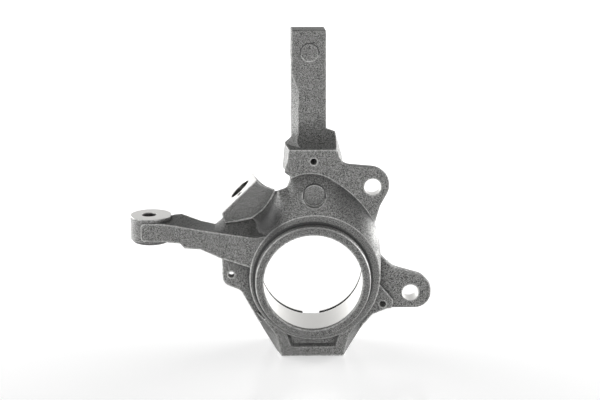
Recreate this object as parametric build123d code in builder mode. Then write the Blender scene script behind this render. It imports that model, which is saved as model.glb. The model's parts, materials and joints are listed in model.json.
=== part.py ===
from build123d import *
from math import cos, radians, sin, sqrt, tan
import os

# Front steering knuckle of a strut axle: one ductile-iron casting with machined seats.
# X runs along the car, Y inboard along the wheel axis, Z up.
# The origin is on the wheel axis, in the middle of the bearing seat.
# Sizes are in mm and degrees. A setback is a distance inboard of the outboard lip face.
# An outline corner is (x, z, corner radius), x and z from the wheel axis.

# Bearing housing
bearing_diameter = 78.0
bearing_width = 40.0
lip_bore = 73.6
lip_thickness = 4.4
groove_width = 2.7
groove_depth = 1.6
collar_width = 3.3
relief_slot_width = 13.0
relief_slot_depth = 2.2
lead_in = 1.0
ring_diameter = 86.0
ring_height = 9.0
shoulder_diameter = 97.4
shoulder_shift = (1.6, 0.9)
cast_edge = 1.2
ring_edge = 2.4

# Plate plane, shared by the dust shield seats and the upper ear
plate_setback = 20.0

# Caliper ears
ear_draft = 8.0
upper_ear_hole = (44.6, 68.1)
upper_ear_radius = 14.0
upper_ear_thickness = 9.0
lower_ear_hole = (74.4, -15.4)
lower_ear_radius = 12.6
lower_ear_setback = 23.0
lower_ear_thickness = 13.6
ear_hole_diameter = 12.4

# Dust shield fixing holes, M6
shield_hole_diameter = 5.0
shield_hole_top = (0.9, 87.5)
shield_hole_left = (-60.8, 0.7)
shield_hole_right = (53.3, -23.5)
shield_hole_depth = 16.0
left_flange_thickness = 9.0

# Strut bar and its neck
bar_width = 26.0
bar_depth = 34.0
bar_center_x = -2.0
bar_setback = 44.0
bar_lean = 4.0
bar_top = 180.5
bar_hole_diameter = 14.2
bar_hole_pitch = 46.0
bar_hole_edge = 17.0
ledge_height = 96.4
neck_rear_setback = 66.0
flank_depth = 6.0
flank_width = 5.6
flank_top = 135.0
flank_end = 151.0
bar_edge = 1.2

# Wheel speed sensor boss
sensor_angle = 134.2
sensor_face_radius = 79.5
sensor_boss_width = 36.4
sensor_boss_depth = 34.0
sensor_boss_height = 27.0
sensor_setback = 33.0
sensor_boss_shift = 1.5
sensor_hole_diameter = 18.0
sensor_hole_setback = 54.8
sensor_hole_shift = 2.0
sensor_screw_pitch = 14.4
sensor_screw_diameter = 5.0
sensor_screw_depth = 14.0

# Steering arm and its ball stud boss
arm_root_x = -43.0
arm_root_setback = 9.0
arm_pad_x = -113.0
arm_pad_setback = 27.0
stud_center = (-121.4, 43.0)
stud_boss_diameter = 31.0
stud_top = 41.7
stud_bottom = 21.4
stud_hole_top = 11.2
stud_hole_shift = 1.3
stud_taper = 5.7
stud_chamfer = 2.2

# Ball joint block
foot_bottom = -60.6
foot_front_width = 46.6
foot_width = 54.6
foot_front_setback = 9.5
foot_mid_setback = 25.0
foot_rear_setback = 50.0
pocket_depth = 2.6
pocket_draft = 40.0
foot_screw_diameter = 8.5
foot_screw_pitch = 30.0
foot_screw_depth = 15.0

# Cast datum spots
shoulder_spot = (1.2, 63.4)
shoulder_spot_diameter = 16.5
shoulder_spot_setback = 14.2
shoulder_spot_slope = 8.0
bar_spot = (-1.4, 164.0)
bar_spot_diameter = 13.5
bar_spot_height = 0.5

lip_face = -(lip_thickness + bearing_width / 2)
seat_end = bearing_width / 2
housing_end = seat_end + groove_width + collar_width
ring_radius = ring_diameter / 2
shoulder_radius = shoulder_diameter / 2
seat_radius = bearing_diameter / 2
bar_left = bar_center_x - bar_width / 2
bar_right = bar_center_x + bar_width / 2


def facing(setback):
    """Plane square to the wheel axis at this setback, looking outboard."""
    return Plane.XZ.offset(-(lip_face + setback))


def close_outline(corners):
    """Closed line through (x, z, radius) corners."""
    FilletPolyline(
        *[(x, z) for x, z, _ in corners],
        radius=[r for _, _, r in corners],
        close=True,
    )


# Housing: raised outboard ring on a body that sits a little off the wheel axis
with BuildPart() as housing:
    with BuildSketch(Plane.XY):
        with BuildLine():
            Polyline(
                (0, lip_face),
                (ring_radius - ring_edge, lip_face),
                (ring_radius - 0.3 * ring_edge, lip_face + 0.3 * ring_edge),
                (ring_radius, lip_face + ring_edge),
                (ring_radius, housing_end),
                (0, housing_end),
                close=True,
            )
        make_face()
    revolve(axis=Axis.Y)
    with BuildSketch(facing(ring_height)):
        with Locations(shoulder_shift):
            Circle(shoulder_radius)
    extrude(amount=-(housing_end - lip_face - ring_height))
    shoulder_rims = housing.edges().filter_by(GeomType.CIRCLE).filter_by(lambda edge: edge.radius > ring_radius + 1.0)
    chamfer(shoulder_rims, length=cast_edge / 2)


def on_shoulder(point):
    """The point moved along its radius on to the edge of the shoulder."""
    dx, dz = point[0] - shoulder_shift[0], point[1] - shoulder_shift[1]
    reach = sqrt(dx**2 + dz**2)
    return (shoulder_shift[0] + dx * shoulder_radius / reach, shoulder_shift[1] + dz * shoulder_radius / reach)


# Web: spreads from the shoulder to the spiral edge of the plate plane, hollow in between,
# and round the sensor side
spiral = [(50.6, -6.0), (46.6, 40.0), (16.8, 71.9), (-14.6, 75.6)]
spiral_bulge = [(51.2, 16.0), (33.6, 58.2), (2.0, 78.4)]
sensor_side = [(-18.5, 68.4), (-25.5, 66.0), (-27.0, 58.5), (-33.0, 46.5), (-43.0, 35.5)]
sensor_side_rear = [(-19.0, 62.6), (-28.3, 60.8), (-30.0, 57.2), (-38.0, 47.8), (-47.0, 41.6)]
web_core = [(-20.0, 10.0), (10.0, -10.0)]
web_dip_share = 0.6
web_dip_setback = 13.6


def toward_shoulder(point, share):
    """The point brought in from the spiral edge, leaving this share of its way out from the shoulder."""
    root = on_shoulder(point)
    return tuple(start + (end - start) * share for start, end in zip(root, point))


def web_line(share, side):
    """Outline of the web with its spiral this share of the way out, and this line on the sensor side."""
    ends = [toward_shoulder(point, share) for point in spiral]
    middles = [toward_shoulder(point, share) for point in spiral_bulge]
    for start, middle, end in zip(ends, middles, ends[1:]):
        ThreePointArc(start, middle, end)
    Polyline(ends[-1], *side, *web_core, ends[0])


sensor_side_root = [on_shoulder(point) for point in sensor_side]
sensor_side_dip = [toward_shoulder(point, web_dip_share) for point in sensor_side]
with BuildPart() as web:
    for setback, share, side in (
        (ring_height, 0.0, sensor_side_root),
        (web_dip_setback, web_dip_share, sensor_side_dip),
        (plate_setback, 1.0, sensor_side),
        (sensor_setback + 4.0, 1.0, sensor_side_rear),
    ):
        with BuildSketch(facing(setback)):
            with BuildLine():
                web_line(share, side)
            make_face()
    loft(ruled=True)


# Plate with the upper caliper ear and the top dust shield seat
ux, uz = upper_ear_hole
with BuildPart() as plate:
    with BuildSketch(facing(plate_setback)):
        with BuildLine():
            close_outline(
                [
                    (-7.4, ledge_height, 1.5),
                    (18.6, ledge_height, 1.5),
                    (22.0, uz + 17.4, 9.0),
                    (ux + 21.0, uz + 13.4, upper_ear_radius),
                    (ux + 5.8, uz - 15.0, 12.0),
                    (46.3, 38.0, 0),
                    (20.0, 40.0, 0),
                    (-15.6, 60.0, 0),
                    (-15.9, 75.6, 3.0),
                    (-21.0, 79.4, 1.5),
                    (-20.0, 86.0, 3.0),
                ]
            )
        make_face()
    extrude(amount=-upper_ear_thickness, taper=ear_draft)
    front_edges = plate.faces().sort_by(Axis.Y)[0].edges()
    fillet(front_edges.filter_by(lambda edge: edge.center().X > bar_right + 10.0), radius=cast_edge)


# Lower caliper ear
lx, lz = lower_ear_hole
lower_ear_top = lz + lower_ear_radius - 0.8
lower_ear_bottom = lz - lower_ear_radius + 0.4
with BuildPart() as lower_ear:
    with BuildSketch(facing(lower_ear_setback)):
        with BuildLine():
            close_outline(
                [
                    (36.0, 34.0, 0),
                    (46.0, 20.8, 0),
                    (lx - 12.6, lower_ear_top + 7.6, 16.0),
                    (lx + 15.8, lower_ear_top - 0.6, lower_ear_radius - 0.4),
                    (lx + 15.6, lower_ear_bottom, lower_ear_radius - 0.4),
                    (lx - 18.0, lower_ear_bottom, 14.0),
                    (lx - 29.0, lower_ear_bottom - 5.4, 12.0),
                    (lx - 40.0, lower_ear_bottom - 20.0, 0),
                    (lx - 50.0, lower_ear_bottom - 6.0, 0),
                ]
            )
        make_face()
    extrude(amount=-lower_ear_thickness, taper=ear_draft)
    fillet(lower_ear.faces().sort_by(Axis.Y)[0].edges(), radius=cast_edge)


# Raised seat for the right dust shield hole
rx, rz = shield_hole_right
with BuildPart() as shield_seat:
    with BuildSketch(facing(plate_setback)):
        with BuildLine():
            close_outline(
                [
                    (44.0, -2.0, 0),
                    (rx - 0.6, rz + 13.6, 3.0),
                    (rx + 8.0, rz + 3.0, 2.5),
                    (rx + 7.2, lower_ear_bottom + 0.8, 2.0),
                    (rx + 3.4, lower_ear_bottom + 0.6, 8.0),
                    (rx - 7.9, rz - 8.2, 6.0),
                    (rx - 16.0, rz - 18.0, 0),
                ]
            )
        make_face()
    extrude(amount=-lower_ear_thickness)


# Flange below the steering arm for the left dust shield hole
sx, sz = shield_hole_left
with BuildPart() as shield_flange:
    with BuildSketch(facing(plate_setback)):
        with BuildLine():
            close_outline(
                [
                    (-40.0, 20.0, 0),
                    (sx - 6.4, 20.0, 0),
                    (sx - 6.4, sz - 6.6, 7.5),
                    (-53.6, -11.6, 6.0),
                    (-40.0, -37.0, 0),
                    (-25.0, -37.0, 0),
                ]
            )
        make_face()
    extrude(amount=-left_flange_thickness)


# Side line of the bar and of the hollow below it, along Y and Z
ledge_front = lip_face + plate_setback
bar_front = lip_face + bar_setback
lean_sin = sin(radians(bar_lean))
lean_cos = cos(radians(bar_lean))
hollow_radius = bar_setback - plate_setback
hollow_top = ledge_height + hollow_radius
bar_tip = (bar_front + (bar_top - hollow_top) * lean_sin / lean_cos, bar_top)
bar_rear_tip = (bar_tip[0] + bar_depth * lean_cos, bar_tip[1] - bar_depth * lean_sin)
bar_rear = bar_front + bar_depth / lean_cos
neck_rear = lip_face + neck_rear_setback


def hollow_line():
    """Front line of the neck: up the plate plane and round the hollow to the bar."""
    Polyline((ledge_front, 45.0), (ledge_front, ledge_height))
    RadiusArc((ledge_front, ledge_height), (bar_front, hollow_top), -hollow_radius)


# Strut bar, leaning inboard, with flat sides for the strut clamp
with BuildPart() as bar:
    with BuildSketch(Plane.YZ.offset(bar_left)):
        with BuildLine():
            hollow_line()
            Polyline((bar_front, hollow_top), bar_tip, bar_rear_tip, (bar_rear, hollow_top))
            FilletPolyline(
                (bar_rear, hollow_top),
                (bar_rear - 1.0, 104.0),
                (housing_end - 1.0, 62.0),
                (housing_end - 1.0, 45.0),
                radius=16.0,
            )
            Line((housing_end - 1.0, 45.0), (ledge_front, 45.0))
        make_face()
    extrude(amount=bar_width)
    fillet(bar.faces().sort_by(Axis.Z)[-1].edges(), radius=bar_edge)


# Neck: widens from the bar to the plate, its sides drafted from the front to the parting plane
neck_front_corners = [
    (bar_left + 2.0, 102.0),
    (bar_left - 2.4, 98.0),
    (bar_left - 4.2, 80.6),
    (-15.9, 75.8),
    (-15.9, 60.0),
    (24.0, 60.0),
    (bar_right + 9.4, 87.0),
    (bar_right + 3.6, 105.0),
    (bar_right, 107.8),
]
neck_mid_corners = [
    (bar_left + 0.4, 103.4),
    (bar_left - 5.0, 98.4),
    (bar_left - 6.8, 78.6),
    (-16.4, 73.2),
    (-16.4, 58.0),
    (24.0, 58.0),
    (bar_right + 12.2, 85.0),
    (bar_right + 6.6, 106.0),
    (bar_right + 0.4, 108.6),
]
neck_rear_corners = [
    (bar_left + 0.4, 88.0),
    (bar_left - 2.6, 84.0),
    (bar_left - 3.8, 72.0),
    (-16.0, 68.0),
    (-16.0, 52.0),
    (24.0, 52.0),
    (bar_right + 8.6, 74.0),
    (bar_right + 3.6, 90.0),
    (bar_right + 0.4, 93.0),
]
neck_mid_setback = 40.0
with BuildPart() as neck:
    for setback, corners in (
        (plate_setback, neck_front_corners),
        (neck_mid_setback, neck_mid_corners),
        (neck_rear_setback, neck_rear_corners),
    ):
        with BuildSketch(facing(setback)):
            with BuildLine():
                Polyline(*corners, close=True)
            make_face()
    loft(ruled=True)
    with BuildSketch(Plane.YZ):
        with BuildLine():
            hollow_line()
            FilletPolyline(
                (bar_front, hollow_top),
                (neck_rear, hollow_top),
                (neck_rear, 84.0),
                (housing_end - 2.0, 58.0),
                (housing_end - 2.0, 45.0),
                radius=8.0,
            )
            Line((housing_end - 2.0, 45.0), (ledge_front, 45.0))
        make_face()
    extrude(amount=60.0, both=True, mode=Mode.INTERSECT)


def face_y(height):
    """Y of the front of the hollow or the bar at this height."""
    if height < hollow_top:
        return ledge_front + sqrt(hollow_radius**2 - (hollow_top - height) ** 2)
    return bar_front + (height - hollow_top) * lean_sin / lean_cos


# Flank left of the hollow and the bar: a steep wall that stands on a sloping face and runs out above
flank_low = Vector(bar_left - 5.0, ledge_front + 1.0, ledge_height - 11.4)
flank_corner = Vector(bar_left + 8.0, ledge_front + 2.0, ledge_height)
flank_high = Vector(bar_left + 1.0, bar_front + 2.0, ledge_height + 9.6)
flank_face = Plane(origin=flank_corner, z_dir=(flank_corner - flank_low).cross(flank_high - flank_corner))
flank_back = 16.0
with BuildPart() as flank:
    for height, width, depth in (
        (ledge_height + 0.4, flank_width + 3.0, flank_depth + 3.0),
        (hollow_top - 18.0, flank_width + 0.4, flank_depth + 2.0),
        (hollow_top - 8.0, flank_width, flank_depth + 1.0),
        (flank_top, flank_width, flank_depth),
        (flank_end, 0.1, 0.1),
    ):
        edge_y = face_y(height)
        with BuildSketch(Plane.XY.offset(height)):
            with BuildLine():
                Polyline(
                    (bar_left + width, edge_y - 8.0),
                    (bar_left + width, edge_y),
                    (bar_left, edge_y + depth),
                    (bar_left - flank_back, edge_y + depth + flank_back),
                    (bar_left - flank_back, edge_y - 8.0),
                    close=True,
                )
            make_face()
    loft(ruled=True)
    split(bisect_by=flank_face, keep=Keep.TOP)


# Sensor boss: square block on the outside of the housing, with its face turned to the tone wheel radius
normal = (cos(radians(sensor_angle)), sin(radians(sensor_angle)))
along = (normal[1], -normal[0])


def beside_sensor(reach, shift):
    """Front point at this distance out along the sensor axis and this shift along its face."""
    return (normal[0] * reach + along[0] * shift, normal[1] * reach + along[1] * shift)


boss_bottom = sensor_face_radius - sensor_boss_height
boss_left = sensor_boss_shift - sensor_boss_width / 2
boss_right = sensor_boss_width / 2 - 5.0
root_left = boss_left + 7.7
boss_root_depth = 11.0
hidden_corners = [(boss_bottom, boss_right), (boss_bottom, 0.0), (boss_bottom, root_left)]
boss_front_corners = [
    beside_sensor(sensor_face_radius, boss_left),
    beside_sensor(sensor_face_radius, boss_left + sensor_boss_width),
    (-37.4, 67.0),
    (-28.0, 63.4),
    *[beside_sensor(reach, shift) for reach, shift in hidden_corners],
    (-53.8, 39.1),
    (-65.1, 37.3),
    (-66.9, 41.2),
]
boss_rear_corners = [
    (sensor_face_radius, boss_left),
    (sensor_face_radius, boss_right + 2.4),
    (sensor_face_radius - 4.0, boss_right + 1.4),
    (sensor_face_radius - 20.0, boss_right),
    *hidden_corners,
    (sensor_face_radius - 23.0, boss_left + 1.7),
    (sensor_face_radius - 15.0, boss_left + 0.7),
    (sensor_face_radius - 7.0, boss_left),
]
with BuildPart() as sensor_boss:
    with BuildSketch(facing(sensor_setback)):
        with BuildLine():
            Polyline(*boss_front_corners, close=True)
        make_face()
    with BuildSketch(facing(sensor_setback + sensor_boss_depth)):
        with BuildLine():
            Polyline(*[beside_sensor(reach, shift) for reach, shift in boss_rear_corners], close=True)
        make_face()
    loft(ruled=True)
    with BuildSketch(facing(sensor_setback)):
        with BuildLine():
            Polyline(
                beside_sensor(boss_bottom + 3.0, boss_right),
                beside_sensor(seat_radius + 4.0, boss_right),
                beside_sensor(seat_radius + 4.0, root_left),
                beside_sensor(boss_bottom + 3.0, root_left),
                close=True,
            )
        make_face()
    extrude(amount=-boss_root_depth)


# Steering arm: ruled between its outboard face and its inboard face
arm_angle = (arm_pad_setback - arm_root_setback) / (arm_root_x - arm_pad_x)
arm_reach = sqrt(1 + arm_angle**2)
arm_rear_setback = 48.0
arm_face = Plane(
    origin=(arm_root_x, lip_face + arm_root_setback, 0),
    x_dir=(1, -arm_angle, 0),
    z_dir=(-arm_angle, -1, 0),
)
arm_stations = [0.0, -11.0, -23.0, -30.0, -41.0, -55.5, -61.0, -70.0]
arm_front_top = [32.3, 33.3, 34.3, 34.9, 35.9, 37.4, 38.2, 38.8]
arm_rear_top = [45.8, 43.0, 38.4, 32.6, 35.2, 40.8, 40.2, 37.6]
arm_base_stations = [-70.0, -55.6, -52.5, -40.6, -25.7, 0.0]
arm_front_base = [24.8, 24.4, 20.9, 21.0, 15.2, 8.6]
arm_rear_base = [25.6, 25.4, 24.4, 23.0, 18.0, 12.0]


def arm_corners(top, base, start, stretch):
    """Corners of an arm section from its start, stations stretched along the section's own plane."""
    corners = list(zip(arm_stations, top)) + list(zip(arm_base_stations, base))
    return [(start + x * stretch, z) for x, z in corners]


with BuildPart() as arm:
    with BuildSketch(arm_face):
        with BuildLine():
            Polyline(*arm_corners(arm_front_top, arm_front_base, 0.0, arm_reach), close=True)
        make_face()
    with BuildSketch(facing(arm_rear_setback)):
        with BuildLine():
            Polyline(*arm_corners(arm_rear_top, arm_rear_base, arm_root_x, 1.0), close=True)
        make_face()
    loft(ruled=True)


# Root of the arm, flush with the shoulder
arm_root_front = [(arm_root_x, arm_front_top[0]), (-36.0, 33.6), (-22.0, 30.0), (-22.0, 2.0)]
arm_root_front += [(arm_root_x, arm_front_base[-1])]
arm_root_rear = [(arm_root_x, arm_rear_top[0]), (-34.0, 52.0), (-20.0, 44.0), (-20.0, 2.0)]
arm_root_rear += [(arm_root_x, arm_rear_base[-1])]
with BuildPart() as arm_root:
    for setback, corners in ((arm_root_setback, arm_root_front), (arm_rear_setback, arm_root_rear)):
        with BuildSketch(facing(setback)):
            with BuildLine():
                Polyline(*corners, close=True)
            make_face()
    loft(ruled=True)


# Ball stud boss with the flat pad on its front
bx, by = stud_center[0], lip_face + stud_center[1]
pad_height = 13.7
pad_middle = 31.9
pad_overhang = 6.9
with BuildPart() as stud_boss:
    with BuildSketch(Plane.XY.offset(stud_bottom)):
        with Locations((bx, by)):
            Circle(stud_boss_diameter / 2)
    extrude(amount=stud_top - stud_bottom)
    chamfer(stud_boss.edges().sort_by(Axis.Z)[0], length=stud_chamfer)
    with BuildSketch(facing(arm_pad_setback)):
        with BuildLine():
            close_outline(
                [
                    (bx - pad_overhang, pad_middle - pad_height / 2, 3.0),
                    (bx - pad_overhang, pad_middle + pad_height / 2, 3.0),
                    (arm_pad_x, pad_middle + pad_height / 2, 0),
                    (arm_pad_x, pad_middle - pad_height / 2, 0),
                ]
            )
        make_face()
    extrude(amount=-14.0)


# Ball joint block, drafted towards the front
with BuildPart() as foot:
    with BuildSketch(facing(foot_front_setback)):
        with BuildLine():
            Polyline(
                (-foot_front_width / 2, foot_bottom),
                (foot_front_width / 2, foot_bottom),
                (27.4, -43.8),
                (37.0, -31.0),
                (-37.0, -31.0),
                (-27.4, -43.8),
                close=True,
            )
        make_face()
    with BuildSketch(facing(foot_mid_setback)) as foot_mid:
        with BuildLine():
            Polyline(
                (-foot_width / 2, foot_bottom),
                (foot_width / 2, foot_bottom),
                (37.2, -43.8),
                (45.6, -31.0),
                (-45.2, -28.0),
                (-37.0, -43.8),
                close=True,
            )
        make_face()
    loft(ruled=True)
    extrude(foot_mid.sketch, amount=-(foot_rear_setback - foot_mid_setback))
    with BuildSketch(facing(foot_front_setback)):
        with BuildLine():
            close_outline(
                [
                    (-21.0, -39.0, 0),
                    (-16.4, foot_bottom + 7.2, 1.5),
                    (17.4, foot_bottom + 7.2, 1.5),
                    (21.4, -39.0, 0),
                ]
            )
        make_face()
    extrude(amount=-pocket_depth, taper=pocket_draft, mode=Mode.SUBTRACT)


# Disc left by the datum pin on the web, proud above and sunk below
spot_front = facing(shoulder_spot_setback)
with BuildPart() as spot:
    with BuildSketch(spot_front):
        with Locations(shoulder_spot):
            Circle(shoulder_spot_diameter / 2)
    extrude(amount=-8.0)
with BuildPart() as spot_clearance:
    with BuildSketch(spot_front):
        with Locations(shoulder_spot):
            Circle(shoulder_spot_diameter / 2)
    extrude(amount=8.0, taper=-shoulder_spot_slope)


forms = (
    housing,
    web,
    plate,
    lower_ear,
    shield_seat,
    shield_flange,
    sensor_boss,
    arm_root,
    arm,
    stud_boss,
    foot,
)
bar_face_y = bar_front + (bar_spot[1] - hollow_top) * lean_sin / lean_cos
bar_face = Plane(
    origin=(bar_spot[0], bar_face_y, bar_spot[1]),
    x_dir=(1, 0, 0),
    z_dir=(0, -lean_cos, lean_sin),
)
sensor_plane = Plane(
    origin=(normal[0] * sensor_face_radius, lip_face, normal[1] * sensor_face_radius),
    x_dir=(along[0], 0, along[1]),
    z_dir=(normal[0], 0, normal[1]),
)
overrun = 30.0
stud_height = stud_top - stud_bottom
stud_hole_bottom = stud_hole_top + 2 * stud_height * tan(radians(stud_taper / 2))
foot_middle = (foot_mid_setback + foot_rear_setback) / 2
with BuildPart() as knuckle:
    add(bar.part)
    add(neck.part)
    add(flank.part, mode=Mode.SUBTRACT)
    for form in forms:
        add(form.part)
    add(spot_clearance.part, mode=Mode.SUBTRACT)
    add(spot.part)

    # Datum disc on the bar
    with BuildSketch(bar_face):
        Circle(bar_spot_diameter / 2)
    extrude(amount=bar_spot_height)

    # Bearing seat, lip bore and snap ring groove
    with BuildSketch(Plane.XY):
        with BuildLine():
            Polyline(
                (0, lip_face - overrun),
                (lip_bore / 2, lip_face - overrun),
                (lip_bore / 2, -bearing_width / 2),
                (seat_radius, -bearing_width / 2),
                (seat_radius, seat_end),
                (seat_radius + groove_depth, seat_end),
                (seat_radius + groove_depth, seat_end + groove_width),
                (seat_radius, seat_end + groove_width),
                (seat_radius, housing_end - lead_in),
                (seat_radius + lead_in, housing_end),
                (seat_radius + lead_in, housing_end + overrun),
                (0, housing_end + overrun),
                close=True,
            )
        make_face()
    revolve(axis=Axis.Y, mode=Mode.SUBTRACT)

    # Slot through the collar for the snap ring's lugs
    with BuildSketch(Plane.XZ.offset(-(seat_end + groove_width))):
        with Locations((0, -seat_radius)):
            Rectangle(relief_slot_width, 2 * relief_slot_depth)
    extrude(amount=-collar_width, mode=Mode.SUBTRACT)

    # Caliper bolt holes
    for ear_hole, setback, thickness in (
        (upper_ear_hole, plate_setback, upper_ear_thickness),
        (lower_ear_hole, lower_ear_setback, lower_ear_thickness),
    ):
        with Locations(facing(setback) * Location((*ear_hole, 0))):
            Hole(ear_hole_diameter / 2, depth=thickness)

    # Dust shield screw holes
    for shield_hole, depth in (
        (shield_hole_top, shield_hole_depth),
        (shield_hole_left, left_flange_thickness),
        (shield_hole_right, lower_ear_setback + lower_ear_thickness - plate_setback),
    ):
        with Locations(facing(plate_setback) * Location((*shield_hole, 0))):
            Hole(shield_hole_diameter / 2, depth=depth)

    # Strut bolt holes, across the bar
    for from_top in (bar_hole_edge, bar_hole_edge + bar_hole_pitch):
        hole_z = bar_top - from_top
        hole_y = bar_front + (hole_z - hollow_top) * lean_sin / lean_cos + bar_depth / 2
        with Locations(Plane(origin=(bar_right, hole_y, hole_z), z_dir=(1, 0, 0))):
            Hole(bar_hole_diameter / 2, depth=bar_width)

    # Wheel speed sensor bore and its fixing screw
    with Locations(sensor_plane * Location((sensor_hole_shift, sensor_hole_setback, 0))):
        Hole(sensor_hole_diameter / 2, depth=sensor_boss_height)
    with Locations(sensor_plane * Location((sensor_hole_shift, sensor_hole_setback - sensor_screw_pitch, 0))):
        Hole(sensor_screw_diameter / 2, depth=sensor_screw_depth)

    # Tapered ball stud seat, wide end below
    with Locations((bx - stud_hole_shift, by, (stud_top + stud_bottom) / 2)):
        Cone(stud_hole_bottom / 2, stud_hole_top / 2, stud_height, mode=Mode.SUBTRACT)

    # Ball joint screw holes in the base
    with Locations(Plane(origin=(0, lip_face + foot_middle, foot_bottom), z_dir=(0, 0, -1))):
        with GridLocations(foot_screw_pitch, 0, 2, 1):
            Hole(foot_screw_diameter / 2, depth=foot_screw_depth)

knuckle.part.label = "knuckle"
os.makedirs("parts", exist_ok=True)
export_step(knuckle.part, "parts/knuckle.step")
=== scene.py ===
import json
import math
import random

import bpy
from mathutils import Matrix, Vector


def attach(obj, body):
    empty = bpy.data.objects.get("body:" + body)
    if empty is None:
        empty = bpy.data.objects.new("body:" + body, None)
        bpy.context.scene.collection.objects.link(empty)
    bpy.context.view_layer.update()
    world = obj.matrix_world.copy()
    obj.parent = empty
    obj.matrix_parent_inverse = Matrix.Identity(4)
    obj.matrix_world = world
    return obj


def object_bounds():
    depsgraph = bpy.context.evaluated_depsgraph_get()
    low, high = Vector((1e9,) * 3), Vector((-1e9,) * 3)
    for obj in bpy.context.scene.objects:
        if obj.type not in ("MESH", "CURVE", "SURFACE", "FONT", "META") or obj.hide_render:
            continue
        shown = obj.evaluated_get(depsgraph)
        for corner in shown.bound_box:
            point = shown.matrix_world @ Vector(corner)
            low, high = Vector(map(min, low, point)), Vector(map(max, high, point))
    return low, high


bl_info = {
    "name": "Steering Knuckle",
    "version": (1, 0, 0),
    "blender": (4, 5, 0),
    "location": "3D View > Sidebar > Knuckle",
    "description": "Dresses a cast front steering knuckle and sets it on a pale studio floor",
    "category": "Object",
}

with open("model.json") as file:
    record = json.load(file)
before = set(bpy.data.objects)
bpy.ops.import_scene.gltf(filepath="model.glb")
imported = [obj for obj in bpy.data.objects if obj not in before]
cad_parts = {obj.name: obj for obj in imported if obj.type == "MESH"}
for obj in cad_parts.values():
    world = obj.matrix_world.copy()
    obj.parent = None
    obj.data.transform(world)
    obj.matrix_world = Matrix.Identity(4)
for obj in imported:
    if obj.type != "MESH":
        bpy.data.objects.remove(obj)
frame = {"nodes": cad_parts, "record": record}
cad_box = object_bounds()
mounts = {mount["name"]: mount for mount in frame["record"]["mounts"]}
MM = 0.001


def mm(*lengths):
    """Millimetres as metres."""
    return tuple(length * MM for length in lengths)


# Directions and planes of the CAD frame: X to the caliper ears, Y inboard, Z up
WHEEL_AXIS = (0.0, 1.0, 0.0)
UPWARDS = (0.0, 0.0, 1.0)
SENSOR_AXIS = (math.cos(math.radians(134.2)), 0.0, math.sin(math.radians(134.2)))
SENSOR_REACH = 79.5 * MM
LIP_FACE = -24.4 * MM

# Cut surfaces as flat or long cylinders: middle, axis, radius, half length.
# The skin is how far a cylinder reaches past the wall that it paints.
SKIN = 0.1 * MM
BEARING_SEAT = (mounts["bearing_bore"]["pos_m"], WHEEL_AXIS, *mm(40.8, 19.6))
COLLAR = (mm(0.0, 24.9, 0.0), WHEEL_AXIS, *mm(40.8, 1.3))
SENSOR_MIDDLE = (SENSOR_AXIS[0] * SENSOR_REACH, 24.0 * MM, SENSOR_AXIS[2] * SENSOR_REACH)
SENSOR_FACE = (SENSOR_MIDDLE, SENSOR_AXIS, 27.0 * MM, SKIN)
STUD_PAD = (mm(-121.4, 18.6, 41.7), UPWARDS, 17.0 * MM, SKIN)
# The snap ring groove is painted dark as shade
SNAP_RING_GROOVE = (mm(0.0, 21.6, 0.0), WHEEL_AXIS, *mm(41.5, 2.0))
BRIGHT_HOLES = ("caliper_hole_upper", "caliper_hole_lower", "shield_hole_left")
# Bores whose drilled walls are darkened as painted shade
SHADED_BORES = ("sensor_bore", "strut_bolt_upper", "strut_bolt_lower", "shield_hole_right")

# Bands of painted highlight and painted shade round an axis along Y: middle, radius, half width, half length
RING_EDGE_HIGHLIGHT = (mm(0.0, -23.4, 0.0), *mm(42.4, 0.35, 2.5))
# Painted shade on the ring's face and round its root
RING_FACE_SHADE = (mm(0.0, -23.4, 0.0), *mm(39.3, 2.6, 1.8))
RING_ROOT_SHADE = (mm(0.0, -15.4, 0.0), *mm(43.9, 0.9, 1.0))
SHOULDER_HIGHLIGHT = (mm(1.6, -15.2, 0.9), *mm(48.4, 0.4, 1.5))
WEB_EDGE_RIGHT = (mm(-26.74, -4.4, 1.36), *mm(82.9, 0.45, 1.2))
WEB_EDGE_TOP = (mm(-1.72, -4.4, 49.84), *mm(28.8, 0.45, 1.2))
DATUM_DISCS = (
    (mm(-1.4, 22.6, 164.0), *mm(6.75, 0.4, 4.0)),
    (mm(1.2, -10.2, 63.4), *mm(8.25, 0.4, 4.0)),
)
# Painted highlight along the lower rim of the sensor boss: a band, then the middle and half length of its
# stretch along X
BOSS_RIM_HIGHLIGHT = (
    ((mm(-63.45, 8.6, 73.75), *mm(37.13, 0.6, 0.8)), mm(-36.5, 8.9)),
    ((mm(-97.27, 8.6, 264.29), *mm(228.94, 0.6, 0.8)), mm(-55.7, 10.3)),
)
# Where the painted highlight on the web's two edges and the painted shade inside them begin: X and Z of the
# right one, Z of the top one, each from 0 to full
RIGHT_WEB_X = mm(4.0, 22.0)
RIGHT_WEB_Z = mm(28.0, 46.0)
TOP_WEB_Z = mm(68.0, 73.0)
# How far the shade reaches inside the web's edges
RIGHT_SHADE = 20.0 * MM
TOP_SHADE = 8.0 * MM
# A disc's rim takes painted shade above and painted highlight below a level this share of its radius below
# the middle
DISC_SPLIT = 0.3

# Soft spots of painted highlight and painted shade: middle, radius of the full spot, radius where it ends,
# strength
# Painted highlight on the right flank of the web
FLANK_HIGHLIGHT = (mm(46.0, -8.0, 36.0), *mm(4.0, 13.0), 0.9)
# Painted shade in the valley between the sensor boss and the web
VALLEY_SHADE = (mm(-36.0, -10.0, 47.0), *mm(9.0, 20.0), 0.9)

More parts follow.
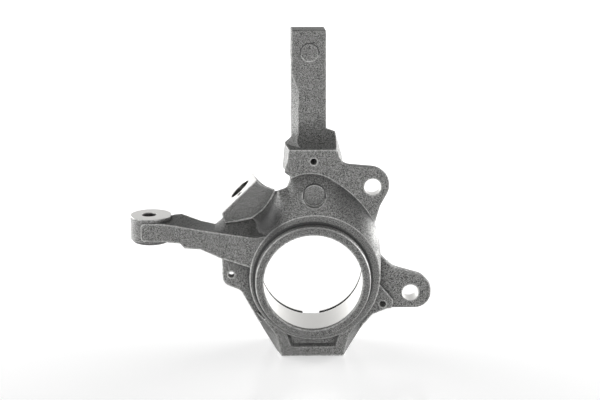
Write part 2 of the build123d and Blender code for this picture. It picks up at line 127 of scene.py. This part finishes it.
# Tone curves for the grain, the painted shade and the painted highlight: from low and high, to low and high
GRAIN_TONE = (0.38, 0.62)
CORNER_SHADE_TONE = (0.12, 0.6, 0.0, 0.9)
HOLLOW_SHADE_TONE = (0.15, 0.6, 0.0, 0.7)
EDGE_HIGHLIGHT_TONE = (0.08, 0.35)
SAND_BREAKS_HIGHLIGHT = (0.4, 0.6, 0.4, 1.0)
UNDERSIDE_SHADE_TONE = (-0.5, -0.2, 0.7, 0.0)
SCRATCH_ROUGHNESS = (0.3, 0.7, 0.2, 0.4)
# How much each pattern, painted highlight or painted shade counts
SAND_SHARE = 0.2
RIM_HIGHLIGHT = 0.7
ROOT_SHADE_SHARE = 0.75
RIGHT_SHADE_SHARE = 0.75
TOP_SHADE_SHARE = 0.5
RING_FACE_SHADE_SHARE = 0.2
# Cast skin first, cut iron second. Oxide hides most of the metal in the cast skin
ROUGHNESS = (0.55, 0.3)
METALLIC = (0.2, 1.0)
FEED_MARK_HEIGHT = 0.1

# The wave texture turns by this many radians for each unit of its scaled input
WAVE_RADIANS = 20.0
SMOOTH_LIMIT = math.radians(28.0)
MERGE_GAP = 0.002 * MM

# Parting line where flash is left: X and Z of its points, and how far inboard of the lip face, in mm
FLASH_RUNS = (
    ("ear_flash", 26.0, [(57.4, 10.2), (62.6, 6.6), (67.0, 5.2), (71.7, 4.0), (76.3, 2.4), (81.6, -0.2)]),
    ("flange_flash", 25.0, [(-67.0, 13.0), (-67.0, 8.0), (-67.0, 2.0), (-66.4, -3.0), (-64.0, -6.0)]),
)
FLASH_STEPS = 4
# How far the flash strays inboard and outboard, in mm, and its girth as shares of the radius
FLASH_WANDER = 0.3
FLASH_GIRTH = (0.4, 1.5)
FLASH_RADIUS = 0.5 * MM
TAPPED_HOLES = ("shield_hole_top", "shield_hole_left", "shield_hole_right", "sensor_screw")
THREAD_STEPS = 16
# Crests stand proud of the drilled wall by their own radius less this sink
THREAD_SINK = 0.02 * MM
CREST_SHARE = 0.2

# Soft lamps in metres: name, place, width, height, and the setting that holds the power
SOFTBOXES = (
    ("softbox_left", (-0.9, 0.45, 0.14), 1.0, 0.5, "left_power"),
    ("softbox_right", (0.9, 0.35, 0.14), 1.0, 0.5, "right_power"),
    ("softbox_front", (-0.3, -1.85, 0.15), 0.9, 0.4, "front_power"),
)
LAMP_AIM = (0.0, 0.0, 0.05)
# Half a side of the floor, and where its far glow starts and is full, in metres
FLOOR_REACH = 6.0
FLOOR_FADE = (0.3, 1.0)
# How steeply a ray climbs where the walls give way to the ceiling, as light and as gloss
WALL_RISE = (0.0, 0.8)
GLOSS_RISE = (0.1, 0.8, 1.0, 0.2)
WHITE = (1.0, 1.0, 1.0, 1.0)


def linear(hex_colour):
    """sRGB hex such as '#70706f' as a linear colour with alpha."""
    channels = [int(hex_colour[i : i + 2], 16) / 255 for i in (1, 3, 5)]
    return tuple(c / 12.92 if c <= 0.04045 else ((c + 0.055) / 1.055) ** 2.4 for c in channels) + (1.0,)


def node(tree, kind, inputs=(), **settings):
    """Adds a node with its settings. An input is a constant, a socket or a node's first live output."""
    made = tree.nodes.new(kind)
    for key, value in settings.items():
        setattr(made, key, value)
    for key, value in inputs.items() if isinstance(inputs, dict) else enumerate(inputs):
        if isinstance(value, bpy.types.Node):
            value = next(socket for socket in value.outputs if socket.enabled)
        if isinstance(value, bpy.types.NodeSocket):
            tree.links.new(value, made.inputs[key])
        else:
            made.inputs[key].default_value = value
    return made


class KnuckleSettings(bpy.types.PropertyGroup):
    cast_colour: bpy.props.StringProperty(
        name="Cast colour", description="sRGB hex of the shot-blasted iron", default="#aeaeac"
    )
    cast_dark: bpy.props.StringProperty(
        name="Cast dark colour", description="sRGB hex of the dark grains in the cast skin", default="#2a2a2a"
    )
    # Colour of the painted shade in inner corners, hollows, undersides and parts of the web
    painted_shade_colour: bpy.props.StringProperty(
        name="Corner colour",
        description="sRGB hex of the inner corners that the shot misses",
        default="#2c2c2c",
    )
    # Colour of the painted highlights along outer edges and rims
    edge_highlight_colour: bpy.props.StringProperty(
        name="Edge colour",
        description="sRGB hex of the outer edges that the shot polishes",
        default="#ececea",
    )
    machined_colour: bpy.props.StringProperty(
        name="Machined colour", description="sRGB hex of freshly cut iron", default="#e8e7e4"
    )
    # Colour of the painted shade in the snap ring groove
    groove_shade_colour: bpy.props.StringProperty(
        name="Groove colour", description="sRGB hex of the oily snap ring groove", default="#0c0c0c"
    )
    # Colour of the drilled walls, darkened as painted shade inside the bores
    shaded_drilled_colour: bpy.props.StringProperty(
        name="Drilled colour", description="sRGB hex of the duller drilled walls", default="#8c8b89"
    )
    # Colour of the painted shade mixed into the threads by the scratch pattern
    thread_shade_colour: bpy.props.StringProperty(
        name="Thread dark colour",
        description="sRGB hex of the scratches in the tapped iron",
        default="#3c3c3b",
    )
    dent_size: bpy.props.FloatProperty(
        name="Shot dents", description="Drawn spacing of the shot dents", default=0.57 * MM, unit="LENGTH"
    )
    sand_size: bpy.props.FloatProperty(
        name="Sand grain",
        description="Drawn spacing of the coarser sand grain",
        default=1.4 * MM,
        unit="LENGTH",
    )
    feed_pitch: bpy.props.FloatProperty(
        name="Feed marks",
        description="Drawn spacing of the tool marks in the bore",
        default=2.513 * MM,
        unit="LENGTH",
    )
    scratch_size: bpy.props.FloatProperty(
        name="Tap scratches",
        description="Drawn spacing of the scratches on the threads",
        default=0.3 * MM,
        unit="LENGTH",
    )
    grain_depth: bpy.props.FloatProperty(
        name="Grain depth",
        description="Height of the grain in the cast skin",
        default=0.3 * MM,
        unit="LENGTH",
    )
    edge_radius: bpy.props.FloatProperty(
        name="Edge radius", description="Rounding of the cast edges", default=0.9 * MM, unit="LENGTH"
    )
    # Reach of the painted shade in inner corners
    corner_reach: bpy.props.FloatProperty(
        name="Corner reach",
        description="How far the dark of an inner corner reaches",
        default=4.0 * MM,
        unit="LENGTH",
    )
    # Width of the painted highlight along an outer edge
    highlight_reach: bpy.props.FloatProperty(
        name="Edge reach",
        description="Width of the polish along an outer edge",
        default=1.4 * MM,
        unit="LENGTH",
    )
    # Reach of the painted shade in hollows
    cavity_reach: bpy.props.FloatProperty(
        name="Cavity reach",
        description="How wide a hollow still stays dark",
        default=16.0 * MM,
        unit="LENGTH",
    )
    thread_pitch: bpy.props.FloatProperty(
        name="Thread pitch", description="Pitch of the M6 threads", default=1.0 * MM, unit="LENGTH"
    )


class StudioSettings(bpy.types.PropertyGroup):
    floor_colour: bpy.props.StringProperty(
        name="Floor colour", description="sRGB hex of the studio floor", default="#f4f4f4"
    )
    floor_glow: bpy.props.FloatProperty(
        name="Floor glow", description="White added to the near floor", default=0.43, subtype="FACTOR"
    )
    far_glow: bpy.props.FloatProperty(
        name="Far glow", description="White added to the far floor", default=0.9, subtype="FACTOR"
    )
    wall_light: bpy.props.FloatProperty(
        name="Wall light", description="Light from the white walls", default=0.45, subtype="FACTOR"
    )
    ceiling_light: bpy.props.FloatProperty(
        name="Ceiling light", description="Light from the dark ceiling", default=0.05, subtype="FACTOR"
    )
    left_power: bpy.props.FloatProperty(
        name="Left lamp", description="Power of the lamp behind the arm", default=14.0, subtype="POWER"
    )
    right_power: bpy.props.FloatProperty(
        name="Right lamp", description="Power of the lamp behind the ears", default=15.0, subtype="POWER"
    )
    front_power: bpy.props.FloatProperty(
        name="Front lamp", description="Power of the front lamp", default=9.0, subtype="POWER"
    )
    lens: bpy.props.FloatProperty(
        name="Lens", description="Focal length of the camera", default=90.0, subtype="DISTANCE_CAMERA"
    )
    pitch: bpy.props.FloatProperty(
        name="Pitch",
        description="How far the camera looks down",
        default=math.radians(15.09),
        subtype="ANGLE",
    )
    yaw: bpy.props.FloatProperty(
        name="Yaw", description="How far the camera turns right", default=math.radians(1.59), subtype="ANGLE"
    )
    camera_place: bpy.props.FloatVectorProperty(
        name="Camera place",
        description="Where the camera stands",
        default=mm(-39.0, -1076.7, 347.7),
        subtype="TRANSLATION",
    )


def cylinder_mask(tree, position, middle, axis, radius, half_length):
    """1 inside a cylinder round the axis through its middle."""
    offset = node(tree, "ShaderNodeVectorMath", (position, middle), operation="SUBTRACT")
    along = node(tree, "ShaderNodeVectorMath", (offset, axis), operation="DOT_PRODUCT")
    length = node(tree, "ShaderNodeVectorMath", (offset,), operation="LENGTH")
    squares = [node(tree, "ShaderNodeMath", (value, 2.0), operation="POWER") for value in (length, along)]
    radial = node(tree, "ShaderNodeMath", squares, operation="SUBTRACT")
    near = node(tree, "ShaderNodeMath", (radial, radius**2), operation="LESS_THAN")
    height = node(tree, "ShaderNodeMath", (along,), operation="ABSOLUTE")
    level = node(tree, "ShaderNodeMath", (height, half_length), operation="LESS_THAN")
    return node(tree, "ShaderNodeMath", (near, level), operation="MULTIPLY")


def ring_mask(tree, position, middle, radius, half_width, half_length):
    """1 on a band round an axis that runs along Y."""
    outer = cylinder_mask(tree, position, middle, WHEEL_AXIS, radius + half_width, half_length)
    inner = cylinder_mask(tree, position, middle, WHEEL_AXIS, radius - half_width, half_length)
    return node(tree, "ShaderNodeMath", (outer, inner), operation="SUBTRACT")


def bore_mask(tree, position, name):
    """1 on the wall of a mount's bore."""
    dims = mounts[name]["dims"]
    radius, half_length = dims["r_mm"] * MM + SKIN, dims["length_mm"] / 2 * MM + SKIN
    return cylinder_mask(tree, position, mounts[name]["pos_m"], mounts[name]["axis"], radius, half_length)


def soft_spot(tree, position, middle, core, reach, strength):
    """A round spot that is at its full strength inside the core and fades out at its reach."""
    away = node(tree, "ShaderNodeVectorMath", (position, middle), operation="DISTANCE")
    return node(tree, "ShaderNodeMapRange", (away, core, reach, strength, 0.0))


def arc_shade(tree, position, middle, radius, reach):
    """Grows from 0 to 1 over the reach inside an arc round an axis along Y, and stops at the arc."""
    flat = node(tree, "ShaderNodeVectorMath", (position, (1.0, 0.0, 1.0)), operation="MULTIPLY")
    foot = (middle[0], 0.0, middle[2])
    out = node(tree, "ShaderNodeVectorMath", (flat, foot), operation="DISTANCE")
    growth = node(tree, "ShaderNodeMapRange", (out, radius - reach, radius))
    within = node(tree, "ShaderNodeMath", (out, radius), operation="LESS_THAN")
    return node(tree, "ShaderNodeMath", (growth, within), operation="MULTIPLY")


def nearness(tree, distance, inside):
    """How much other surface lies within a distance, outside the solid or inside it: 0 on open flats."""
    found = node(
        tree, "ShaderNodeAmbientOcclusion", {"Distance": distance}, samples=6, inside=inside, only_local=True
    )
    return node(tree, "ShaderNodeMath", (1.0, found.outputs["AO"]), operation="SUBTRACT")


def any_of(tree, masks):
    """1 where any of the masks is 1."""
    joined, *others = masks
    for mask in others:
        joined = node(tree, "ShaderNodeMath", (joined, mask), operation="MAXIMUM")
    return joined


def new_material(name):
    """An empty node material and its tree."""
    material = bpy.data.materials.new(name)
    material.use_nodes = True
    material.node_tree.nodes.clear()
    return material, material.node_tree


def make_ductile_iron(settings):
    """Ductile iron, sand cast and shot-blasted, with bright turned and milled seats.

    Blasting leaves a matt mid-grey skin of small dents that catch the light as fine speckle.
    Painted highlights brighten its outer edges and rims, and painted shade darkens its inner corners, hollows
    and undersides.
    The cutter leaves bare bright iron with fine feed marks.
    """
    material, tree = new_material("shot_blasted_ductile_iron")
    geometry = node(tree, "ShaderNodeNewGeometry")
    position = geometry.outputs["Position"]
    place = node(tree, "ShaderNodeSeparateXYZ", (position,)).outputs

    # Cast skin: 1 mm shot leaves dents of about 0.3 mm, over moulding sand of about 0.3 mm. Both are
    # too fine to show at this distance, so the dents are drawn twice as coarse and the sand five
    # times, and their relief is drawn deeper than the real few hundredths of a millimetre
    lumps = []
    for size, detail in ((settings.dent_size, 1.0), (settings.sand_size, 2.0)):
        pattern = {"Vector": position, "Scale": 1.0 / size, "Detail": detail, "Roughness": 0.6}
        lumps.append(node(tree, "ShaderNodeTexNoise", pattern))
    dents, sand = lumps
    grain = node(tree, "ShaderNodeMix", {"Factor": SAND_SHARE, "A": dents, "B": sand})
    tone = node(tree, "ShaderNodeMapRange", (grain, *GRAIN_TONE))
    colours = {"A": linear(settings.cast_dark), "B": linear(settings.cast_colour)}
    cast = node(tree, "ShaderNodeMix", {"Factor": tone, **colours}, data_type="RGBA")

    # Painted shade in inner corners and hollows, darker where more surface lies near
    corners = node(tree, "ShaderNodeMapRange", (nearness(tree, settings.corner_reach, False), *CORNER_SHADE_TONE))
    hollow_shade = node(tree, "ShaderNodeMapRange", (nearness(tree, settings.cavity_reach, False), *HOLLOW_SHADE_TONE))
    dark = {"Factor": any_of(tree, (corners, hollow_shade)), "A": cast, "B": linear(settings.painted_shade_colour)}
    cast = node(tree, "ShaderNodeMix", dark, data_type="RGBA")

    # Stretches of the web's edges, and the two halves of each disc's rim: painted shade on the upper half,
    # painted highlight on the lower
    right_x = node(tree, "ShaderNodeMapRange", (place["X"], *RIGHT_WEB_X))
    right_z = node(tree, "ShaderNodeMapRange", (place["Z"], *RIGHT_WEB_Z))
    right_web = node(tree, "ShaderNodeMath", (right_x, right_z), operation="MULTIPLY")
    top_web = node(tree, "ShaderNodeMapRange", (place["Z"], *TOP_WEB_Z))
    shaded_upper_rims, lit_lower_rims = [], []
    for disc in DATUM_DISCS:
        rim = ring_mask(tree, position, *disc)
        split = disc[0][2] - DISC_SPLIT * disc[1]
        for side, half in (("GREATER_THAN", shaded_upper_rims), ("LESS_THAN", lit_lower_rims)):
            part = node(tree, "ShaderNodeMath", (place["Z"], split), operation=side)
            half.append(node(tree, "ShaderNodeMath", (rim, part), operation="MULTIPLY"))

    # Painted highlights along outer edges and rims and on a flank of the web, broken up by the sand grain
    highlight_bands = [ring_mask(tree, position, *edge) for edge in (RING_EDGE_HIGHLIGHT, SHOULDER_HIGHLIGHT)]
    for edge, stretch in ((WEB_EDGE_RIGHT, right_web), (WEB_EDGE_TOP, top_web)):
        band = ring_mask(tree, position, *edge)
        highlight_bands.append(node(tree, "ShaderNodeMath", (band, stretch), operation="MULTIPLY"))
    for edge, stretch in BOSS_RIM_HIGHLIGHT:
        band = ring_mask(tree, position, *edge)
        part = node(tree, "ShaderNodeMath", (place["X"], *stretch), operation="COMPARE")
        highlight_bands.append(node(tree, "ShaderNodeMath", (band, part), operation="MULTIPLY"))
    highlight_bands = any_of(tree, [*highlight_bands, soft_spot(tree, position, *FLANK_HIGHLIGHT), *lit_lower_rims])
    highlight_bands = node(tree, "ShaderNodeMath", (highlight_bands, RIM_HIGHLIGHT), operation="MULTIPLY")
    edges = node(tree, "ShaderNodeMapRange", (nearness(tree, settings.highlight_reach, True), *EDGE_HIGHLIGHT_TONE))
    breaks = node(tree, "ShaderNodeMapRange", (sand, *SAND_BREAKS_HIGHLIGHT))
    painted_highlight = node(tree, "ShaderNodeMath", (any_of(tree, (edges, highlight_bands)), breaks), operation="MULTIPLY")
    bright = {"Factor": painted_highlight, "A": cast, "B": linear(settings.edge_highlight_colour)}
    cast = node(tree, "ShaderNodeMix", bright, data_type="RGBA")

    # Painted shade on undersides, the upper rims of the discs, the root and face of the ring, the valley by
    # the sensor boss and inside the web's edges
    lean = node(tree, "ShaderNodeSeparateXYZ", (geometry.outputs["Normal"],)).outputs["Z"]
    painted_shade_parts = [
        node(tree, "ShaderNodeMapRange", (lean, *UNDERSIDE_SHADE_TONE)),
        soft_spot(tree, position, *VALLEY_SHADE),
    ]
    # Painted shade that grows towards the web's right and top edges from inside
    right_shade = arc_shade(tree, position, *WEB_EDGE_RIGHT[:2], RIGHT_SHADE)
    top_shade = arc_shade(tree, position, *WEB_EDGE_TOP[:2], TOP_SHADE)
    for shade, share in (
        (any_of(tree, [*shaded_upper_rims, ring_mask(tree, position, *RING_ROOT_SHADE)]), ROOT_SHADE_SHARE),
        (node(tree, "ShaderNodeMath", (right_shade, right_web), operation="MULTIPLY"), RIGHT_SHADE_SHARE),
        (node(tree, "ShaderNodeMath", (top_shade, top_web), operation="MULTIPLY"), TOP_SHADE_SHARE),
        (ring_mask(tree, position, *RING_FACE_SHADE), RING_FACE_SHADE_SHARE),
    ):
        painted_shade_parts.append(node(tree, "ShaderNodeMath", (shade, share), operation="MULTIPLY"))
    dark = {"Factor": any_of(tree, painted_shade_parts), "A": cast, "B": linear(settings.painted_shade_colour)}
    cast = node(tree, "ShaderNodeMix", dark, data_type="RGBA")

    # Painted shade in the snap ring groove, then where the cutter and the drill have been, with the drilled
    # walls darkened as painted shade
    seats = [cylinder_mask(tree, position, *seat) for seat in (BEARING_SEAT, COLLAR, SENSOR_FACE, STUD_PAD)]
    machined = any_of(tree, seats + [bore_mask(tree, position, name) for name in BRIGHT_HOLES])
    drilled = any_of(tree, [bore_mask(tree, position, name) for name in SHADED_BORES])
    colour = cast
    for mask, hex_colour in (
        (cylinder_mask(tree, position, *SNAP_RING_GROOVE), settings.groove_shade_colour),
        (machined, settings.machined_colour),
        (drilled, settings.shaded_drilled_colour),
    ):
        cut = {"Factor": mask, "A": colour, "B": linear(hex_colour)}
        colour = node(tree, "ShaderNodeMix", cut, data_type="RGBA")
    bare = any_of(tree, (machined, drilled))

    # Feed marks along the bore: the tool moves about 0.2 mm a turn, too fine to show, so they are
    # drawn coarser
    waves = {"Vector": position, "Scale": math.tau / (settings.feed_pitch * WAVE_RADIANS), "Distortion": 0.5}
    marks = node(tree, "ShaderNodeTexWave", waves, wave_type="BANDS", bands_direction="Y").outputs["Fac"]
    marks = node(tree, "ShaderNodeMath", (marks, FEED_MARK_HEIGHT), operation="MULTIPLY")
    height = node(tree, "ShaderNodeMix", {"Factor": bare, "A": grain, "B": marks})
    rounded = node(tree, "ShaderNodeBevel", {"Radius": settings.edge_radius}, samples=6)
    relief = {"Height": height, "Normal": rounded, "Strength": 0.7, "Distance": settings.grain_depth}
    finish = {
        "Base Color": colour,
        "Roughness": node(tree, "ShaderNodeMapRange", (bare, 0.0, 1.0, *ROUGHNESS)),
        "Metallic": node(tree, "ShaderNodeMapRange", (bare, 0.0, 1.0, *METALLIC)),
        "Normal": node(tree, "ShaderNodeBump", relief),
    }
    node(tree, "ShaderNodeOutputMaterial", {"Surface": node(tree, "ShaderNodeBsdfPrincipled", finish)})
    return material


def make_cut_iron(settings):
    """Bare iron as a tap leaves it: metal crests that glint, darkened by painted shade laid as a scratch
    pattern.
    """
    material, tree = new_material("tapped_bare_iron")
    position = node(tree, "ShaderNodeNewGeometry").outputs["Position"]
    # Real tap scratches are under 0.1 mm, too fine to show, so they are drawn coarser
    size = {"Scale": 1.0 / settings.scratch_size, "Detail": 1.0, "Roughness": 0.6}
    scratches = node(tree, "ShaderNodeTexNoise", {"Vector": position, **size})
    # The scratch pattern mixes painted shade into the threads' colour
    colours = {"A": linear(settings.thread_shade_colour), "B": linear(settings.shaded_drilled_colour)}
    finish = {
        "Base Color": node(tree, "ShaderNodeMix", {"Factor": scratches, **colours}, data_type="RGBA"),
        "Roughness": node(tree, "ShaderNodeMapRange", (scratches, *SCRATCH_ROUGHNESS)),
        "Metallic": 1.0,
    }
    node(tree, "ShaderNodeOutputMaterial", {"Surface": node(tree, "ShaderNodeBsdfPrincipled", finish)})
    return material


def smooth_by_angle(piece, limit):
    """Adds a modifier that shades the curved faces smooth and keeps edges above the limit sharp."""
    tree = bpy.data.node_groups.new("smooth_by_angle", "GeometryNodeTree")
    for side in ("INPUT", "OUTPUT"):
        tree.interface.new_socket("Geometry", in_out=side, socket_type="NodeSocketGeometry")
    source = node(tree, "NodeGroupInput")
    joined = node(tree, "GeometryNodeMergeByDistance", {"Geometry": source, "Distance": MERGE_GAP})
    faces = {"Geometry": joined, "Shade Smooth": True}
    smooth = node(tree, "GeometryNodeSetShadeSmooth", faces, domain="FACE")
    angle = node(tree, "GeometryNodeInputMeshEdgeAngle").outputs["Unsigned Angle"]
    crease = node(tree, "ShaderNodeMath", (angle, limit), operation="GREATER_THAN")
    edges = {"Geometry": smooth, "Selection": crease, "Shade Smooth": False}
    sharp = node(tree, "GeometryNodeSetShadeSmooth", edges, domain="EDGE")
    node(tree, "NodeGroupOutput", {"Geometry": sharp})
    piece.modifiers.new("smooth_by_angle", "NODES").node_group = tree


def add_rod(name, points, radius, material, girths=None):
    """Round rod along the points, as a mesh that rides on the casting; girths scale it at each point."""
    curve = bpy.data.curves.new(name, "CURVE")
    curve.dimensions = "3D"
    curve.bevel_depth = radius
    curve.bevel_resolution = 2
    curve.use_fill_caps = True
    spline = curve.splines.new("POLY")
    spline.points.add(len(points) - 1)
    for knot, point, girth in zip(spline.points, points, girths or [1.0] * len(points)):
        knot.co = (*point, 1.0)
        knot.radius = girth
    holder = bpy.data.objects.new(name + "_line", curve)
    bpy.context.scene.collection.objects.link(holder)
    bpy.context.view_layer.update()
    mesh = bpy.data.meshes.new_from_object(holder)
    bpy.data.objects.remove(holder)
    mesh.name = name
    mesh.materials.clear()
    mesh.materials.append(material)
    mesh.shade_smooth()
    piece = bpy.data.objects.new(name, mesh)
    bpy.context.scene.collection.objects.link(piece)
    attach(piece, "root")


class KNUCKLE_OT_casting(bpy.types.Operator):
    """Gives the casting its shot-blasted skin and machined seats"""

    bl_idname = "knuckle.casting"
    bl_label = "Casting"

    def execute(self, context):
        casting = frame["nodes"]["knuckle"]
        casting.data.materials.clear()
        casting.data.materials.append(make_ductile_iron(context.scene.knuckle_settings))
        smooth_by_angle(casting, SMOOTH_LIMIT)
        return {"FINISHED"}


class KNUCKLE_OT_parting_flash(bpy.types.Operator):
    """Adds the ragged flash left where the mould halves met on the lower ear and the left flange"""

    bl_idname = "knuckle.parting_flash"
    bl_label = "Parting flash"

    def execute(self, context):
        iron = bpy.data.materials["shot_blasted_ductile_iron"]
        casting = frame["nodes"]["knuckle"]
        for name, setback, corners in FLASH_RUNS:
            chance = random.Random(len(corners))
            points, girths = [], []
            for start, end in zip(corners, corners[1:]):
                for i in range(FLASH_STEPS):
                    share = i / FLASH_STEPS
                    x, z = (a + (b - a) * share for a, b in zip(start, end))
                    y = setback + chance.uniform(-FLASH_WANDER, FLASH_WANDER)
                    found, place, _, _ = casting.closest_point_on_mesh((x * MM, LIP_FACE + y * MM, z * MM))
                    if not found:
                        raise RuntimeError(name + " found no casting under it")
                    points.append(place)
                    girths.append(chance.uniform(*FLASH_GIRTH))
            add_rod(name, points, FLASH_RADIUS, iron, girths)
        return {"FINISHED"}


class KNUCKLE_OT_threads(bpy.types.Operator):
    """Adds the M6 threads in the dust shield and sensor holes, as helical crests on the drilled wall"""

    bl_idname = "knuckle.threads"
    bl_label = "Threads"

    def execute(self, context):
        settings = context.scene.knuckle_settings
        pitch = settings.thread_pitch
        cut = make_cut_iron(settings)
        for name in TAPPED_HOLES:
            mount = mounts[name]
            middle, out = Vector(mount["pos_m"]), Vector(mount["axis"])
            side = out.orthogonal().normalized()
            lift = out.cross(side)
            radius = mount["dims"]["r_mm"] * MM - THREAD_SINK
            length = mount["dims"]["length_mm"] * MM - pitch
            points = []
            for i in range(int(length / pitch * THREAD_STEPS) + 1):
                turn = math.tau * i / THREAD_STEPS
                rise = pitch * i / THREAD_STEPS - length / 2
                points.append(middle + out * rise + (side * math.cos(turn) + lift * math.sin(turn)) * radius)
            add_rod(name + "_thread", points, pitch * CREST_SHARE, cut)
        return {"FINISHED"}


def make_floor_board(settings):
    """White acrylic studio board: bright to the camera, it still takes a faint shadow and reflection."""
    material, tree = new_material("white_acrylic_board")
    rays = node(tree, "ShaderNodeLightPath").outputs
    seen = any_of(tree, [rays[name] for name in ("Is Camera Ray", "Is Glossy Ray", "Is Transmission Ray")])
    position = node(tree, "ShaderNodeNewGeometry").outputs["Position"]
    distance = node(tree, "ShaderNodeVectorMath", (position,), operation="LENGTH")
    glows = (settings.floor_glow, settings.far_glow)
    glow = node(tree, "ShaderNodeMapRange", (distance, *FLOOR_FADE, *glows))
    finish = {
        "Base Color": linear(settings.floor_colour),
        "Roughness": 0.18,
        "Emission Color": WHITE,
        "Emission Strength": node(tree, "ShaderNodeMath", (seen, glow), operation="MULTIPLY"),
    }
    node(tree, "ShaderNodeOutputMaterial", {"Surface": node(tree, "ShaderNodeBsdfPrincipled", finish)})
    return material


def make_world(settings):
    """White surround to the camera and in gloss; as a light it fades towards the ceiling."""
    world = bpy.data.worlds.new("studio_surround")
    world.use_nodes = True
    tree = world.node_tree
    tree.nodes.clear()
    rays = node(tree, "ShaderNodeLightPath").outputs
    seen = any_of(tree, [rays[name] for name in ("Is Camera Ray", "Is Transmission Ray")])
    direction = node(tree, "ShaderNodeTexCoord").outputs["Generated"]
    rise = node(tree, "ShaderNodeSeparateXYZ", (direction,)).outputs["Z"]
    lights = (settings.wall_light, settings.ceiling_light)
    ambient = node(tree, "ShaderNodeMapRange", (rise, *WALL_RISE, *lights))
    gloss = node(tree, "ShaderNodeMapRange", (rise, *GLOSS_RISE))
    light = node(tree, "ShaderNodeMix", {"Factor": rays["Is Glossy Ray"], "A": ambient, "B": gloss})
    strength = node(tree, "ShaderNodeMix", {"Factor": seen, "A": light, "B": 1.0})
    back = node(tree, "ShaderNodeBackground", {"Color": WHITE, "Strength": strength})
    node(tree, "ShaderNodeOutputWorld", {"Surface": back})
    bpy.context.scene.world = world


def add_softbox(name, place, width, height, power):
    """Rectangular area lamp at a place, turned to face the part."""
    lamp = bpy.data.lights.new(name, "AREA")
    lamp.shape = "RECTANGLE"
    lamp.size = width
    lamp.size_y = height
    lamp.energy = power
    holder = bpy.data.objects.new(name, lamp)
    holder.location = place
    across, ahead, rise = (aim - start for aim, start in zip(LAMP_AIM, place))
    tilt = math.atan2(rise, math.hypot(across, ahead))
    holder.rotation_euler = (math.pi / 2 + tilt, 0.0, math.pi + math.atan2(across, -ahead))
    bpy.context.scene.collection.objects.link(holder)


class KNUCKLE_OT_studio(bpy.types.Operator):
    """Sets the pale floor, soft lights and camera"""

    bl_idname = "knuckle.studio"
    bl_label = "Studio"

    def execute(self, context):
        settings = context.scene.studio_settings
        mesh = bpy.data.meshes.new("studio_floor")
        sides = ((-1, -1), (1, -1), (1, 1), (-1, 1))
        corners = [(x * FLOOR_REACH, y * FLOOR_REACH, cad_box[0][2]) for x, y in sides]
        mesh.from_pydata(corners, [], [(0, 1, 2, 3)])
        mesh.materials.append(make_floor_board(settings))
        floor = bpy.data.objects.new("studio_floor", mesh)
        context.scene.collection.objects.link(floor)
        make_world(settings)
        for name, place, width, height, power in SOFTBOXES:
            add_softbox(name, place, width, height, getattr(settings, power))

        camera = bpy.data.cameras.new("photo_camera")
        camera.sensor_width = 36.0
        camera.lens = settings.lens
        holder = bpy.data.objects.new("photo_camera", camera)
        holder.location = settings.camera_place
        holder.rotation_euler = (math.pi / 2 - settings.pitch, 0.0, -settings.yaw)
        context.scene.collection.objects.link(holder)
        context.scene.camera = holder
        context.scene.view_settings.view_transform = "Standard"
        return {"FINISHED"}


class KNUCKLE_PT_panel(bpy.types.Panel):
    """Lists the knuckle's settings and steps"""

    bl_idname = "KNUCKLE_PT_panel"
    bl_label = "Steering Knuckle"
    bl_space_type = "VIEW_3D"
    bl_region_type = "UI"
    bl_category = "Knuckle"

    def draw(self, context):
        layout = self.layout
        for settings in (context.scene.knuckle_settings, context.scene.studio_settings):
            for name in settings.bl_rna.properties.keys():
                if name not in ("rna_type", "name"):
                    layout.prop(settings, name)
        for operator in OPERATORS:
            layout.operator(operator.bl_idname)


OPERATORS = (
    KNUCKLE_OT_casting,
    KNUCKLE_OT_parting_flash,
    KNUCKLE_OT_threads,
    KNUCKLE_OT_studio,
)
CLASSES = (KnuckleSettings, StudioSettings, *OPERATORS, KNUCKLE_PT_panel)


def register():
    for cls in CLASSES:
        bpy.utils.register_class(cls)
    bpy.types.Scene.knuckle_settings = bpy.props.PointerProperty(type=KnuckleSettings)
    bpy.types.Scene.studio_settings = bpy.props.PointerProperty(type=StudioSettings)


def unregister():
    del bpy.types.Scene.studio_settings
    del bpy.types.Scene.knuckle_settings
    for cls in reversed(CLASSES):
        bpy.utils.unregister_class(cls)


def main():
    register()
    bpy.ops.knuckle.casting()
    bpy.ops.knuckle.parting_flash()
    bpy.ops.knuckle.threads()
    bpy.ops.knuckle.studio()


if __name__ == "__main__":
    main()
